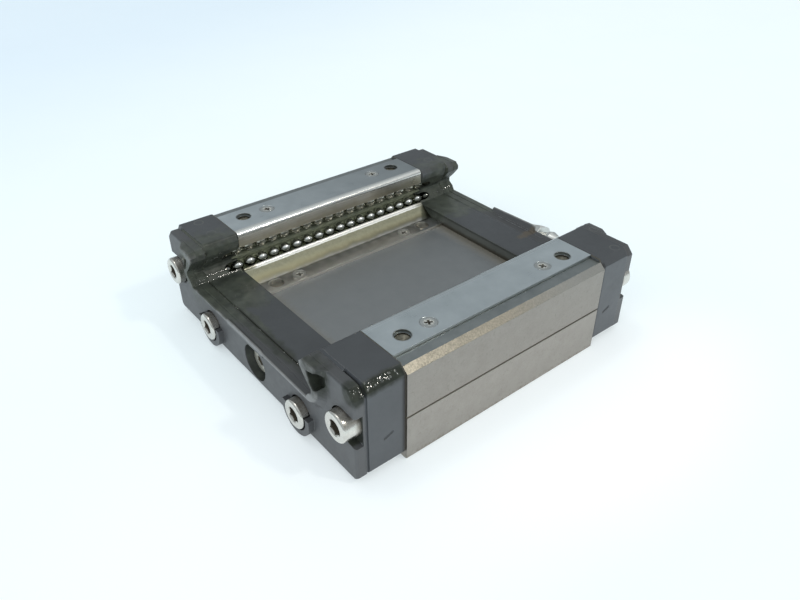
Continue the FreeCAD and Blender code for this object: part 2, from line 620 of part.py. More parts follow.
# --------------------------------------------------------------------- balls
r = BALL_D / 2
for name, c in CIRCUITS.items():
    load, back, front, rear = [], [], [], []
    for i in range(N_ROW):
        x = -ROW_END + (i + 0.5) * PITCH
        # the loose balls do not all sit at one height without a rail
        dz = 0.07 * math.sin(2.4 * i + 3.1 * c.a[1])
        dy = 0.05 * math.cos(3.7 * i + c.a[0])
        load.append(Part.makeSphere(r, V(x, c.a[0] + dy, c.a[1] + dz)))
        back.append(Part.makeSphere(r, V(x, c.b[0], c.b[1])))
    for i in range(N_TURN):
        th = (i + 0.5) * math.pi / N_TURN
        y = c.m[0] - TURN_R * math.cos(th) * c.d[0]
        z = c.m[1] - TURN_R * math.cos(th) * c.d[1]
        dx = TURN_R * math.sin(th)
        rear.append(Part.makeSphere(r, V(ROW_END + dx, y, z)))
        front.append(Part.makeSphere(r, V(-ROW_END - dx, y, z)))
    save("balls_%s_load" % name, Part.makeCompound(load))
    save("balls_%s_return" % name, Part.makeCompound(back))
    save("balls_%s_turn_front" % name, Part.makeCompound(front))
    save("balls_%s_turn_rear" % name, Part.makeCompound(rear))
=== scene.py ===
import math
import random

import bmesh
import bpy
from mathutils import Matrix, Vector


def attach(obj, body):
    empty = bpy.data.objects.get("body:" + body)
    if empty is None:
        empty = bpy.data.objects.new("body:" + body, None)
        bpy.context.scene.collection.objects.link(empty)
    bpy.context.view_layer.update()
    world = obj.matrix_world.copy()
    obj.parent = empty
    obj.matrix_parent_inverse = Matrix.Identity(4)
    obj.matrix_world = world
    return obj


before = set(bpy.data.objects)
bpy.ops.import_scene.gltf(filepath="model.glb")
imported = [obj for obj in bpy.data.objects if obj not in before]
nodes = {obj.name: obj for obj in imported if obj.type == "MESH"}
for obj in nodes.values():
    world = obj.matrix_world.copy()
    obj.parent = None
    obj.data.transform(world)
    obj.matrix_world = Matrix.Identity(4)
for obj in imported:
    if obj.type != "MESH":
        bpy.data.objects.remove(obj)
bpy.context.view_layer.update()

scene = bpy.context.scene

# ------------------------------------------------------------------- camera
# Three-quarter view from above, over the front right corner of the block.
CAM_AT = Vector((-0.117128, -0.147087, 0.135879))
AZ, EL, ROLL = math.radians(-38.935), math.radians(34.480), math.radians(-0.137)
back = Vector((math.sin(AZ) * math.cos(EL), -math.cos(AZ) * math.cos(EL),
               math.sin(EL)))
right = (-back).cross(Vector((0, 0, 1))).normalized()
up = right.cross(-back)
r2 = right * math.cos(ROLL) + up * math.sin(ROLL)
u2 = up * math.cos(ROLL) - right * math.sin(ROLL)
cam_data = bpy.data.cameras.new("camera")
cam_data.sensor_fit = "HORIZONTAL"
cam_data.sensor_width = 36.0
cam_data.lens = 32.0
cam_data.clip_start, cam_data.clip_end = 0.005, 20.0
cam = bpy.data.objects.new("camera", cam_data)
m = Matrix((r2, u2, back)).transposed().to_4x4()
m.translation = CAM_AT
cam.matrix_world = m
scene.collection.objects.link(cam)
scene.camera = cam

# -------------------------------------------------------------- light, floor
scene.view_settings.view_transform = "Standard"
scene.view_settings.look = "None"
scene.view_settings.exposure = 0.0
scene.view_settings.gamma = 1.0

world = bpy.data.worlds.new("studio")
scene.world = world
world.use_nodes = True
wt = world.node_tree
wt.nodes.clear()
w_out = wt.nodes.new("ShaderNodeOutputWorld")
w_bg = wt.nodes.new("ShaderNodeBackground")
w_tc = wt.nodes.new("ShaderNodeTexCoord")
w_sep = wt.nodes.new("ShaderNodeSeparateXYZ")
w_ramp = wt.nodes.new("ShaderNodeValToRGB")
wt.links.new(w_tc.outputs["Generated"], w_sep.inputs[0])
wt.links.new(w_sep.outputs["Z"], w_ramp.inputs["Fac"])
wt.links.new(w_ramp.outputs["Color"], w_bg.inputs["Color"])
# the far wall of the studio, as pale as the floor, where it is seen directly
w_wall = wt.nodes.new("ShaderNodeBackground")
w_wall.inputs["Color"].default_value = (0.86, 0.94, 0.97, 1)
w_mix = wt.nodes.new("ShaderNodeMixShader")
w_lp = wt.nodes.new("ShaderNodeLightPath")
wt.links.new(w_lp.outputs["Is Camera Ray"], w_mix.inputs[0])
wt.links.new(w_bg.outputs[0], w_mix.inputs[1])
wt.links.new(w_wall.outputs[0], w_mix.inputs[2])
wt.links.new(w_mix.outputs[0], w_out.inputs["Surface"])
els = w_ramp.color_ramp.elements
els[0].position, els[0].color = 0.0, (0.40, 0.43, 0.45, 1)
els[1].position, els[1].color = 1.0, (0.80, 0.85, 0.87, 1)
for pos, col in ((0.30, (0.42, 0.455, 0.475, 1)), (0.60, (0.47, 0.51, 0.53, 1)),
                 (0.74, (0.68, 0.73, 0.75, 1))):
    e = els.new(pos)
    e.color = col
w_bg.inputs["Strength"].default_value = 1.03


def area(name, towards, dist, size, power, colour):
    """Soft box, aimed at the middle of the block."""
    data = bpy.data.lights.new(name, "AREA")
    data.shape = "RECTANGLE"
    data.size, data.size_y = size
    data.energy = power
    data.color = colour
    o = bpy.data.objects.new(name, data)
    d = Vector(towards).normalized()
    o.location = Vector((0, 0, 0.015)) + d * dist
    o.rotation_mode = "QUATERNION"
    o.rotation_quaternion = d.to_track_quat("Z", "Y")
    scene.collection.objects.link(o)
    return o


area("key", (0.367, -0.573, 0.734), 2.6, (0.20, 0.20), 12.0, (1.0, 0.95, 0.87))
area("panel", (-0.16, 0.27, 0.95), 2.5, (0.60, 0.40), 6.0, (1.0, 0.99, 0.97))
fill = area("fill", (-0.88, -0.25, 0.48), 2.6, (4.2, 2.6), 46.0, (0.96, 0.985, 1.0))
front = area("front", (-0.25, -0.90, 0.42), 2.6, (4.2, 2.4), 38.0, (1.0, 0.985, 0.96))
# these two only lift the upright faces; polished steel mirrors the room instead
fill.visible_glossy = front.visible_glossy = False

bm_floor = bpy.data.meshes.new("floor")
S = 3.0
bm_floor.from_pydata([(-S, -S, 0), (S, -S, 0), (S, S, 0), (-S, S, 0)], [],
                     [(0, 1, 2, 3)])
floor = bpy.data.objects.new("floor", bm_floor)
floor.location.z = -0.00002
scene.collection.objects.link(floor)


# ------------------------------------------------------------ material maker
class Mat:
    """Short names for building one node material.  P is in millimetres."""

    def __init__(self, name):
        self.m = bpy.data.materials.new(name)
        self.m.use_nodes = True
        self.t = self.m.node_tree
        self.t.nodes.clear()
        self.out = self.new("ShaderNodeOutputMaterial")
        self.b = self.new("ShaderNodeBsdfPrincipled")
        self.link(self.b.outputs[0], self.out.inputs["Surface"])
        tc = self.new("ShaderNodeTexCoord")
        self.P = self.vec("SCALE", tc.outputs["Object"], scale=1000.0)
        self.N = tc.outputs["Normal"]
        sx = self.new("ShaderNodeSeparateXYZ")
        self.link(self.P, sx.inputs[0])
        self.x, self.y, self.z = sx.outputs
        sn = self.new("ShaderNodeSeparateXYZ")
        self.link(self.N, sn.inputs[0])
        self.nx, self.ny, self.nz = sn.outputs
        self.ay = self.math("ABSOLUTE", self.y)
        self.ax = self.math("ABSOLUTE", self.x)

    def new(self, kind):
        return self.t.nodes.new(kind)

    def link(self, a, b):
        self.t.links.new(a, b)

    def put(self, socket, value):
        if isinstance(value, bpy.types.NodeSocket):
            self.link(value, socket)
        elif isinstance(value, (tuple, list)) and len(value) == 3 \
                and len(socket.default_value) == 4:
            socket.default_value = (*value, 1.0)
        else:
            socket.default_value = value

    def set(self, **kw):
        for k, v in kw.items():
            self.put(self.b.inputs[k.replace("_", " ")], v)

    def math(self, op, a, b=None, c=None, clamp=False):
        n = self.new("ShaderNodeMath")
        n.operation = op
        n.use_clamp = clamp
        for i, v in enumerate((a, b, c)):
            if v is not None:
                self.put(n.inputs[i], v)
        return n.outputs[0]

    def add(self, *v):
        s = v[0]
        for k in v[1:]:
            s = self.math("ADD", s, k)
        return s

    def mul(self, *v):
        s = v[0]
        for k in v[1:]:
            s = self.math("MULTIPLY", s, k)
        return s

    def top(self, *v):
        s = v[0]
        for k in v[1:]:
            s = self.math("MAXIMUM", s, k)
        return s

    def vec(self, op, a, b=None, scale=None):
        n = self.new("ShaderNodeVectorMath")
        n.operation = op
        self.put(n.inputs[0], a)
        if b is not None:
            self.put(n.inputs[1], b)
        if scale is not None:
            n.inputs["Scale"].default_value = scale
        return n.outputs["Value"] if op in ("LENGTH", "DOT_PRODUCT", "DISTANCE") \
            else n.outputs["Vector"]

    def step(self, v, lo, hi):
        """0 below lo, 1 above hi (or the other way round), smooth between."""
        n = self.new("ShaderNodeMapRange")
        n.interpolation_type = "SMOOTHSTEP"
        n.clamp = True
        self.put(n.inputs["Value"], v)
        if lo < hi:
            n.inputs["From Min"].default_value = lo
            n.inputs["From Max"].default_value = hi
        else:
            n.inputs["From Min"].default_value = hi
            n.inputs["From Max"].default_value = lo
            n.inputs["To Min"].default_value = 1.0
            n.inputs["To Max"].default_value = 0.0
        return n.outputs["Result"]

    def lin(self, v, lo, hi, a, b):
        n = self.new("ShaderNodeMapRange")
        n.clamp = True
        self.put(n.inputs["Value"], v)
        n.inputs["From Min"].default_value = lo
        n.inputs["From Max"].default_value = hi
        n.inputs["To Min"].default_value = a
        n.inputs["To Max"].default_value = b
        return n.outputs["Result"]

    def band(self, v, a, b, soft):
        return self.mul(self.step(v, a - soft, a + soft),
                        self.step(v, b + soft, b - soft))

    def noise(self, scale, detail=3.0, rough=0.55, stretch=None, shift=None,
              distort=0.0):
        p = self.P
        if stretch:
            p = self.vec("MULTIPLY", p, stretch)
        if shift:
            p = self.vec("ADD", p, shift)
        n = self.new("ShaderNodeTexNoise")
        n.noise_dimensions = "3D"
        self.link(p, n.inputs["Vector"])
        n.inputs["Scale"].default_value = scale
        n.inputs["Detail"].default_value = detail
        n.inputs["Roughness"].default_value = rough
        n.inputs["Distortion"].default_value = distort
        return n.outputs["Fac"]

    def cells(self, scale, shift=None, rand=1.0, feature="F1"):
        p = self.P
        if shift:
            p = self.vec("ADD", p, shift)
        n = self.new("ShaderNodeTexVoronoi")
        n.feature = feature
        self.link(p, n.inputs["Vector"])
        n.inputs["Scale"].default_value = scale
        n.inputs["Randomness"].default_value = rand
        return n.outputs["Distance"]

    def mixc(self, fac, a, b, blend="MIX"):
        n = self.new("ShaderNodeMix")
        n.data_type = "RGBA"
        n.blend_type = blend
        n.clamp_factor = True
        self.put(n.inputs[0], fac)
        self.put(n.inputs[6], a)
        self.put(n.inputs[7], b)
        return n.outputs[2]

    def mixf(self, fac, a, b):
        n = self.new("ShaderNodeMix")
        n.data_type = "FLOAT"
        n.clamp_factor = True
        self.put(n.inputs[0], fac)
        self.put(n.inputs[2], a)
        self.put(n.inputs[3], b)
        return n.outputs[0]

    def tint(self, colour, fac):
        """Multiply a colour by a number."""
        n = self.new("ShaderNodeVectorMath")
        n.operation = "SCALE"
        self.put(n.inputs[0], colour)
        self.put(n.inputs["Scale"], fac)
        return n.outputs["Vector"]

    def bump(self, height, strength, dist_mm, normal=None):
        n = self.new("ShaderNodeBump")
        n.inputs["Strength"].default_value = strength
        n.inputs["Distance"].default_value = dist_mm / 1000.0
        self.link(height, n.inputs["Height"])
        if normal is not None:
            self.link(normal, n.inputs["Normal"])
        return n.outputs["Normal"]

    def soft_edges(self, radius_mm, samples=4):
        n = self.new("ShaderNodeBevel")
        n.samples = samples
        n.inputs["Radius"].default_value = radius_mm / 1000.0
        return n.outputs["Normal"]

    def edges(self, bevel, lo=0.02, hi=0.22):
        """1 along the sharp edges, 0 on the faces."""
        g = self.new("ShaderNodeNewGeometry")
        d = self.vec("DOT_PRODUCT", bevel, g.outputs["True Normal"])
        return self.step(self.math("SUBTRACT", 1.0, d), lo, hi)

    def blob(self, centre, radii):
        """Distance from centre in radii: 0 in the middle, 1 on the rim."""
        q = self.vec("SUBTRACT", self.P, centre)
        q = self.vec("DIVIDE", q, radii)
        return self.vec("LENGTH", q)

    def patches(self, blobs, ragged, soft=0.16):
        """1 inside any of the blobs, with a ragged rim."""
        d = None
        for centre, radii in blobs:
            k = self.blob(centre, radii)
            d = k if d is None else self.math("MINIMUM", d, k)
        return self.step(self.add(d, ragged), 1.0 + soft, 1.0 - soft)


def give(mat, *names):
    for n in names:
        o = nodes[n]
        o.data.materials.clear()
        o.data.materials.append(mat.m)


# -------------------------------------------------------------------- floor
f = Mat("pale_floor")
near_c = f.mixc(f.noise(0.02, 2.0), (0.465, 0.525, 0.545), (0.485, 0.54, 0.56))
far_c = f.mixc(f.noise(0.02, 2.0), (0.345, 0.43, 0.505), (0.36, 0.445, 0.52))
# painted light: the floor is lightened, most in red, off the front right corner where the block's
# shade falls
near_c = f.mixc(f.step(f.blob((-72.0, -52.0, 0.0), (75.0, 80.0, 50.0)), 1.0, 0.3), near_c,
                (0.505, 0.535, 0.55))
# painted light: a lighter patch of floor along the right side, standing for light thrown back from
# the steel
near_c = f.mixc(f.step(f.blob((15.0, -66.0, 0.0), (85.0, 48.0, 50.0)), 1.0, 0.35), near_c,
                (0.56, 0.578, 0.585))
# painted shade: the floor turns darker and bluer towards the far side
f.set(Base_Color=f.mixc(f.step(f.add(f.y, f.mul(f.x, -0.35)), 90.0, 420.0),
                        near_c, far_c),
      Roughness=0.75, Emission_Color=(0.36, 0.39, 0.40), Emission_Strength=1.0)
f.b.inputs["Specular IOR Level"].default_value = 0.2
floor.data.materials.append(f.m)

# ------------------------------------------------------------ black plastics
OIL_CAP = [((-43.0, 33.0, 22.5), (16.0, 8.0, 9.5)),      # far inner corner
           ((-44.0, 24.0, 17.4), (9.0, 12.5, 3.0)),      # far end of the bar
           ((-48.2, 4.0, 17.4), (2.2, 30.0, 2.4)),       # joint to the seal
           ((-42.5, -48.9, 29.4), (9.0, 2.0, 2.6)),      # right leg, outer edge
           ((-47.5, -33.5, 22.0), (3.0, 6.0, 6.5)),
           ((44.0, 33.5, 21.0), (13.0, 8.0, 9.5)),       # rear, far corner
           ((43.0, 26.0, 17.4), (10.0, 11.0, 3.0)),
           ((36.9, 28.0, 15.2), (3.0, 7.5, 3.4))]


def plastic(name, base, oil_blobs, rough, edge_wear_and_highlight, grain, wet_a, wet_b, extra=None,
            oil_and_shade_pools=None):
    k = Mat(name)
    big = k.noise(0.09, 3.0)
    mid = k.noise(0.55, 4.0, shift=(3.1, 7.7, 1.3))
    fine = k.noise(5.5, 2.0, 0.6)
    ragged = k.lin(k.noise(0.22, 4.0, 0.55, shift=(11.0, 4.0, 2.0)), 0.25, 0.75,
                   -0.38, 0.38)
    oil = k.patches(oil_blobs, ragged, 0.34)
    film = k.mul(oil, k.lin(mid, 0.25, 0.75, 0.85, 1.0))
    # painted shade with old oil: the dark wet film is spread into the grease port and the screw
    # recesses
    if oil_and_shade_pools:
        film = k.top(film, oil_and_shade_pools(k))
    bev = k.soft_edges(0.22)
    edge = k.mul(k.edges(bev), k.step(mid, 0.30, 0.62), k.step(k.ax, 38.0, 39.0))
    plain = k.mul(k.step(k.ax, 38.6, 38.0), k.step(k.z, 18.6, 18.2))
    g = k.new("ShaderNodeNewGeometry")
    bev = k.mixc(plain, bev, g.outputs["Normal"])
    dry = k.mixc(k.lin(big, 0.3, 0.7, 0.0, 1.0), tuple(c * 0.88 for c in base),
                 tuple(c * 1.12 for c in base))
    # painted light: upright faces are lightened, more towards the rear end
    upright = k.step(k.math("ABSOLUTE", k.nz), 0.6, 0.25)
    pale = k.mixf(k.step(k.x, 20.0, 36.0), 1.42, 1.74)
    dry = k.tint(dry, k.mixf(upright, 1.0, pale))
    # fine pale dust caught by the moulded grain
    dust = k.mul(k.step(fine, 0.56, 0.74), k.step(mid, 0.35, 0.7), 0.20)
    dry = k.mixc(dust, dry, (0.15, 0.155, 0.155))
    # pale edges: partly rubbed wear, partly painted highlight
    dry = k.mixc(k.mul(edge, edge_wear_and_highlight), dry, (0.22, 0.23, 0.235))
    if extra:
        dry = extra(k, dry, mid, fine)
    wet_tone = k.mixc(k.step(k.noise(0.35, 3.0, shift=(5, 1, 9)), 0.38, 0.70),
                      wet_a, wet_b)
    # thicker and clearer on the left side
    murk = k.add(k.lin(k.noise(0.30, 4.0, 0.6, shift=(9, 4, 7)), 0.30, 0.70, 0.25, 1.75),
                 k.mul(k.step(k.x, 30.0, 44.0), 0.45))
    wet_tone = k.mixc(k.step(k.y, -12.0, 6.0), wet_tone,
                      k.vec("ADD", wet_tone, k.tint((0.0205, 0.0230, 0.0195), murk)))
    specks = k.mul(k.step(k.noise(1.5, 2.0, 0.6, shift=(1, 6, 3)), 0.66, 0.74),
                   k.step(k.noise(0.25, 2.0, shift=(7, 2, 2)), 0.46, 0.60), 0.45)
    wet_tone = k.mixc(specks, wet_tone, (0.125, 0.135, 0.115))
    col = k.mixc(film, dry, wet_tone)
    # black line of oil along the joint of the front bar
    off = k.add(k.math("ABSOLUTE", k.add(k.x, 48.1)), k.mul(k.math("SUBTRACT", mid, 0.5), 0.9))
    seam = k.mul(k.step(off, 0.85, 0.45), k.step(k.z, 16.0, 16.4), k.step(k.z, 18.6, 18.2),
                 k.step(k.y, 17.0, 9.0), k.step(k.y, -31.0, -29.0))
    col = k.mixc(k.mul(seam, 0.85), col, (0.0085, 0.0095, 0.0070))
    k.set(Base_Color=col)
    r = k.add(rough, k.mul(k.math("SUBTRACT", mid, 0.5), 0.22))
    k.set(Roughness=k.mixf(film, r, k.lin(mid, 0.3, 0.7, 0.28, 0.42)),
          Specular_IOR_Level=k.mixf(film, 0.5, k.lin(k.step(k.nz, 0.85, 0.95), 0.0, 1.0, 0.13, 0.42)))
    h_dry = k.add(k.mul(fine, grain), k.mul(mid, 0.25))
    h_wet = k.add(k.mul(k.noise(0.8, 2.0, shift=(2, 2, 2)), 1.2),
                  k.mul(k.noise(2.6, 1.0, shift=(6, 2, 4)), 0.35),
                  k.mul(oil, 0.8))
    k.set(Normal=k.bump(k.mixf(film, h_dry, h_wet), 0.35, 0.05, bev))
    return k


def oil_and_shade_pools(k):
    """Dark wet film in the grease port and round the screw heads: old oil, and painted shade of these
    recesses.
    """
    def ring(y, z, r):
        a = k.math("SUBTRACT", k.ay, y)
        b = k.math("SUBTRACT", k.z, z)
        q = k.math("SQRT", k.add(k.mul(a, a), k.mul(b, b)))
        return k.step(q, r + 0.3, r - 0.3)
    a = k.add(k.y, 0.6)
    b = k.math("SUBTRACT", k.z, 7.9)
    port = k.mul(k.step(k.math("SQRT", k.add(k.mul(a, a), k.mul(b, b))), 5.85, 5.6),
                 k.step(k.ax, 46.0, 46.5), k.step(k.ax, 51.3, 51.0))
    seat = k.mul(k.top(ring(24.5, 7.0, 6.6), ring(44.2, 17.4, 6.2)),
                 k.step(k.ax, 51.38, 51.2), k.step(k.ax, 46.0, 46.5))
    return k.top(port, k.mul(seat, 0.85, k.step(k.ay, 49.0, 48.6)))


MARKS = [(45.2, -46.3), (50.6, -34.6), (-42.5, 36.5), (-42.5, 45.0), (44.5, 36.5)]


def cap_marks(k, dry, mid, fine):
    """Faces of the end bars towards the channel, and a brown smear."""
    inner = k.mul(k.step(k.math("ABSOLUTE", k.nx), 0.6, 0.8), k.step(k.ax, 38.5, 37.5),
                  k.step(k.ay, 32.0, 31.0))
    # painted light: the faces of the end bars towards the channel are lightened, with less blue
    dry = k.mixc(inner, dry, k.vec("MULTIPLY", dry, (1.12, 1.08, 0.90)))
    foot = k.mul(inner, k.step(k.add(k.z, k.mul(mid, 0.8)), 15.7, 14.4))
    dry = k.mixc(k.mul(foot, 0.9), dry, (0.026, 0.023, 0.016))
    # shadow line against the steel
    near_steel = k.top(k.step(k.ax, 37.2, 36.95), k.step(k.math("SUBTRACT", k.x, 37.0), 0.85, 0.55))
    dry = k.mixc(k.mul(near_steel, k.step(k.ax, 36.0, 36.2), k.step(k.x, -38.0, -37.0),
                       k.step(k.ay, 48.4, 48.8), 0.85), dry, (0.010, 0.010, 0.011))
    # round marks of the mould on the tops of the legs
    for mx, my in MARKS:
        a = k.math("SUBTRACT", k.x, mx)
        b = k.math("SUBTRACT", k.y, my)
        q = k.math("SQRT", k.add(k.mul(a, a), k.mul(b, b)))
        ring = k.mul(k.band(q, 1.25, 1.55, 0.16), k.step(k.z, 29.0, 29.4), k.step(mid, 0.25, 0.5))
        dry = k.mixc(k.mul(ring, 0.5), dry, (0.105, 0.115, 0.105))
    smear = k.patches([((50.5, -9.5, 17.6), (5.0, 1.4, 1.5))],
                      k.lin(mid, 0.25, 0.75, -0.5, 0.5), 0.35)
    return k.mixc(k.mul(smear, 0.7), dry, (0.075, 0.060, 0.040))


WET_A, WET_B = (0.0140, 0.0170, 0.0130), (0.0255, 0.0295, 0.0215)
cap = plastic("black_plastic", (0.036, 0.040, 0.0442), OIL_CAP, 0.46, 0.5, 0.5,
              WET_A, WET_B, cap_marks, oil_and_shade_pools)
give(cap, "end_cap_front", "end_cap_rear")

OIL_SEAL = [((-50.2, 25.0, 17.6), (4.0, 17.0, 2.6)),
            ((-50.6, 33.0, 22.0), (5.5, 8.0, 10.0)),
            ((-50.8, -34.0, 25.5), (3.4, 5.0, 6.0)),
            ((-50.2, -47.5, 28.0), (2.5, 3.0, 3.6)),
            ((-49.0, 0.0, 17.6), (1.4, 26.0, 1.6)),
            ((50.6, 33.0, 22.0), (5.5, 8.0, 10.0)),
            ((50.0, 22.0, 17.6), (4.0, 13.0, 2.4))]


def seal_marks(k, dry, mid, fine):
    """Pale rim of the wiping lip, a painted highlight; the land behind it stays dark."""
    land = k.mul(k.step(k.nz, 0.6, 0.8), k.step(k.z, 20.0, 19.0),
                 k.step(k.ay, 33.0, 31.5))
    dry = k.tint(dry, k.lin(land, 0.0, 1.0, 1.0, 0.74))
    rim = k.mul(k.step(k.ax, 52.75, 53.1), k.step(k.z, 16.7, 17.1),
                k.lin(mid, 0.3, 0.7, 0.6, 1.0))
    dry = k.mixc(rim, dry, (0.185, 0.19, 0.19))
    return cap_marks(k, dry, mid, fine)


seal = plastic("seal_rubber", (0.044, 0.0465, 0.049), OIL_SEAL, 0.50, 0.75, 0.35,
               WET_A, WET_B, seal_marks, oil_and_shade_pools)
give(seal, "end_seal_front", "end_seal_rear")

guide = plastic("guide_plastic", (0.050, 0.052, 0.038),
                [((0.0, 0.0, 20.0), (80.0, 80.0, 40.0))], 0.4, 0.3, 0.3,
                (0.085, 0.096, 0.068), (0.13, 0.138, 0.092))
give(guide, "mid_retainer_left", "mid_retainer_right", "return_guides_front",
     "return_guides_rear")


# ------------------------------------------------------------- ground steel
k = Mat("ground_steel")
long_lines = k.noise(1.0, 3.0, 0.6, stretch=(0.05, 5.0, 5.0))
cross_lines = k.noise(1.0, 3.0, 0.6, stretch=(4.0, 0.06, 4.0))
mott = k.noise(0.22, 5.0, 0.6)
spots = k.noise(0.9, 4.0, 0.65, shift=(4, 8, 1))
specks = k.noise(2.2, 3.0, 0.6, shift=(8, 3, 6))
grit = k.noise(6.0, 2.0, 0.6)
up_face = k.step(k.nz, 0.93, 0.985)
down_face = k.step(k.nz, -0.93, -0.985)
outer_side = k.mul(k.step(k.ay, 46.0, 46.4), k.step(k.nz, 0.4, 0.3))
chamfer = k.mul(k.step(k.ay, 46.0, 46.4), k.band(k.nz, 0.55, 0.90, 0.05),
                k.step(k.z, 26.5, 27.2))
leg_top = k.mul(up_face, k.step(k.z, 29.0, 29.3))
floor_f = k.mul(up_face, k.band(k.z, 13.2, 13.7, 0.1))
race = k.mul(k.band(k.ay, 30.0, 37.5, 0.3), k.step(k.z, 13.7, 14.4))

side = k.mixc(k.lin(mott, 0.28, 0.72, 0.0, 1.0), (0.287, 0.266, 0.241),
              (0.347, 0.325, 0.298))
side = k.mixc(k.mul(k.step(spots, 0.55, 0.75), 0.40), side, (0.195, 0.182, 0.155))
side = k.mixc(k.mul(k.step(specks, 0.56, 0.70), 0.22), side, (0.40, 0.385, 0.355))
side = k.mixc(k.mul(k.step(specks, 0.42, 0.30), 0.25), side, (0.20, 0.19, 0.17))
side = k.tint(side, k.lin(k.step(k.z, 14.6, 14.0), 0.0, 1.0, 1.0, 1.14))
cham = k.mixc(k.lin(k.mixf(0.65, spots, specks), 0.40, 0.60, 0.0, 1.0), (0.200, 0.190, 0.162),
              (0.350, 0.330, 0.280))
cham = k.mixc(k.lin(k.x, -30.0, 22.0, 0.0, 0.85), cham, (0.272, 0.256, 0.222))
cham = k.vec("MULTIPLY", cham, k.mixc(k.step(k.x, -6.0, 26.0), (0.92, 0.91, 0.885),
                                      (1.00, 1.07, 1.18)))
topc = k.mixc(k.lin(mott, 0.3, 0.7, 0.0, 1.0), (0.187, 0.203, 0.204),
              (0.245, 0.262, 0.262))
# old oil on the leg top towards the rear end, and a dark line along the sheet, partly dirt and partly
# painted shade of the sheet's edge
stain = k.mul(k.step(k.add(k.x, k.mul(k.math("SUBTRACT", mott, 0.5), 26.0)),
                     27.0, 41.0), 0.30)
topc = k.tint(topc, 1.12)
topc = k.mixc(stain, topc, (0.155, 0.155, 0.100))
sheet_edge_dirt_and_shade = k.mul(k.band(k.ay, 44.45, 44.8, 0.15), k.lin(spots, 0.3, 0.7, 0.45, 0.95))
topc = k.mixc(sheet_edge_dirt_and_shade, topc, (0.06, 0.054, 0.038))
floorc = k.mixc(k.lin(mott, 0.3, 0.7, 0.0, 1.0), (0.256, 0.267, 0.272),
                (0.276, 0.288, 0.293))
hole_x = k.math("SUBTRACT", k.ax, 29.85)
hole_y = k.math("SUBTRACT", k.ay, 22.3)
hole_r = k.math("SQRT", k.add(k.mul(hole_x, hole_x), k.mul(hole_y, hole_y)))
hole_floor = k.step(hole_r, 2.6, 2.4)
# brown oil that has run together at the foot of the end bars
foot_oil = k.step(k.add(k.ax, k.mul(k.math("SUBTRACT", spots, 0.5), 4.0)), 30.5, 36.4)
floorc = k.mixc(k.mul(foot_oil, 0.9), floorc, (0.155, 0.143, 0.113))
floorc = k.mixc(k.mul(hole_floor, 0.9), floorc, k.mixc(k.step(hole_y, -1.4, 1.2),
                                                       (0.345, 0.320, 0.265),
                                                       (0.19, 0.18, 0.15)))
racec = k.mixc(k.lin(spots, 0.3, 0.7, 0.0, 1.0), (0.15, 0.165, 0.12),
               (0.22, 0.235, 0.165))
# painted light: the races are lightened, most in the lower slot, against the shade in the ball slots
racec = k.tint(racec, k.mixf(k.step(k.z, 19.5, 17.8), 1.4, 3.2))
under = k.mixc(k.lin(cross_lines, 0.3, 0.7, 0.0, 1.0), (0.42, 0.42, 0.41),
               (0.54, 0.54, 0.53))
col = k.mixc(outer_side, (0.36, 0.35, 0.33), side)
col = k.mixc(chamfer, col, cham)
col = k.mixc(leg_top, col, topc)
col = k.mixc(floor_f, col, floorc)
col = k.mixc(down_face, col, under)
col = k.mixc(race, col, racec)
# dirt at the bottom of the pin spots under the leg sheets
px = k.math("SUBTRACT", k.ax, 29.67)
py = k.math("SUBTRACT", k.ay, 39.76)
pr = k.math("SQRT", k.add(k.mul(px, px), k.mul(py, py)))
pin = k.mul(k.step(pr, 2.35, 2.25), k.step(k.z, 29.57, 29.45), k.step(k.z, 27.0, 27.5))
col = k.mixc(pin, col, k.mixc(k.lin(spots, 0.3, 0.7, 0.0, 1.0), (0.080, 0.076, 0.058),
                              (0.21, 0.20, 0.165)))
# dirt in the fine groove along the outer sides
groove = k.mul(k.band(k.z, 13.95, 14.66, 0.10), k.step(k.ay, 49.99, 49.86))
col = k.mixc(k.mul(groove, k.step(k.ay, 48.0, 49.0), 0.85), col,
             (0.185, 0.172, 0.142))
# darker and browner in patches along the foot of the outer sides
foot = k.mul(k.step(k.z, 2.4, 0.2), k.step(k.ay, 49.0, 49.6),
             k.step(spots, 0.40, 0.62), 0.55)
col = k.mixc(foot, col, (0.16, 0.14, 0.10))
bev = k.soft_edges(0.16)
edge = k.mul(k.edges(bev), k.step(spots, 0.34, 0.6))
col = k.mixc(k.mul(edge, outer_side, 0.5), col, (0.46, 0.45, 0.41))
ro = k.add(0.42, k.mul(k.math("SUBTRACT", mott, 0.5), 0.22),
           k.mul(k.math("SUBTRACT", long_lines, 0.5), 0.12))
ro = k.mixf(floor_f, ro, k.lin(mott, 0.3, 0.7, 0.49, 0.53))
ro = k.mixf(race, ro, 0.24)
k.set(Base_Color=col, Roughness=ro,
      Metallic=k.mixf(k.top(race, k.mul(foot_oil, floor_f)), 1.0, 0.25))
# thread in the four mounting holes of the underside
hx = k.math("SUBTRACT", k.ax, 25.0)
hy = k.math("SUBTRACT", k.ay, 38.0)
hr = k.math("SQRT", k.add(k.mul(hx, hx), k.mul(hy, hy)))
turn = k.math("DIVIDE", k.math("ARCTAN2", hy, hx), 2 * math.pi)
thread = k.math("SINE", k.mul(k.add(k.math("DIVIDE", k.z, 1.25), turn),
                              2 * math.pi))
in_hole = k.mul(k.step(hr, 3.62, 3.52), k.step(k.z, 8.4, 8.1))
h = k.add(k.mul(k.mixf(down_face, long_lines, cross_lines), 0.4),
          k.mul(grit, 0.35), k.mul(specks, 0.5), k.mul(mott, 0.3))
h = k.mixf(in_hole, h, k.mul(thread, 14.0))
k.set(Normal=k.bump(h, 0.25, 0.03, bev))
give(k, "carriage_body")

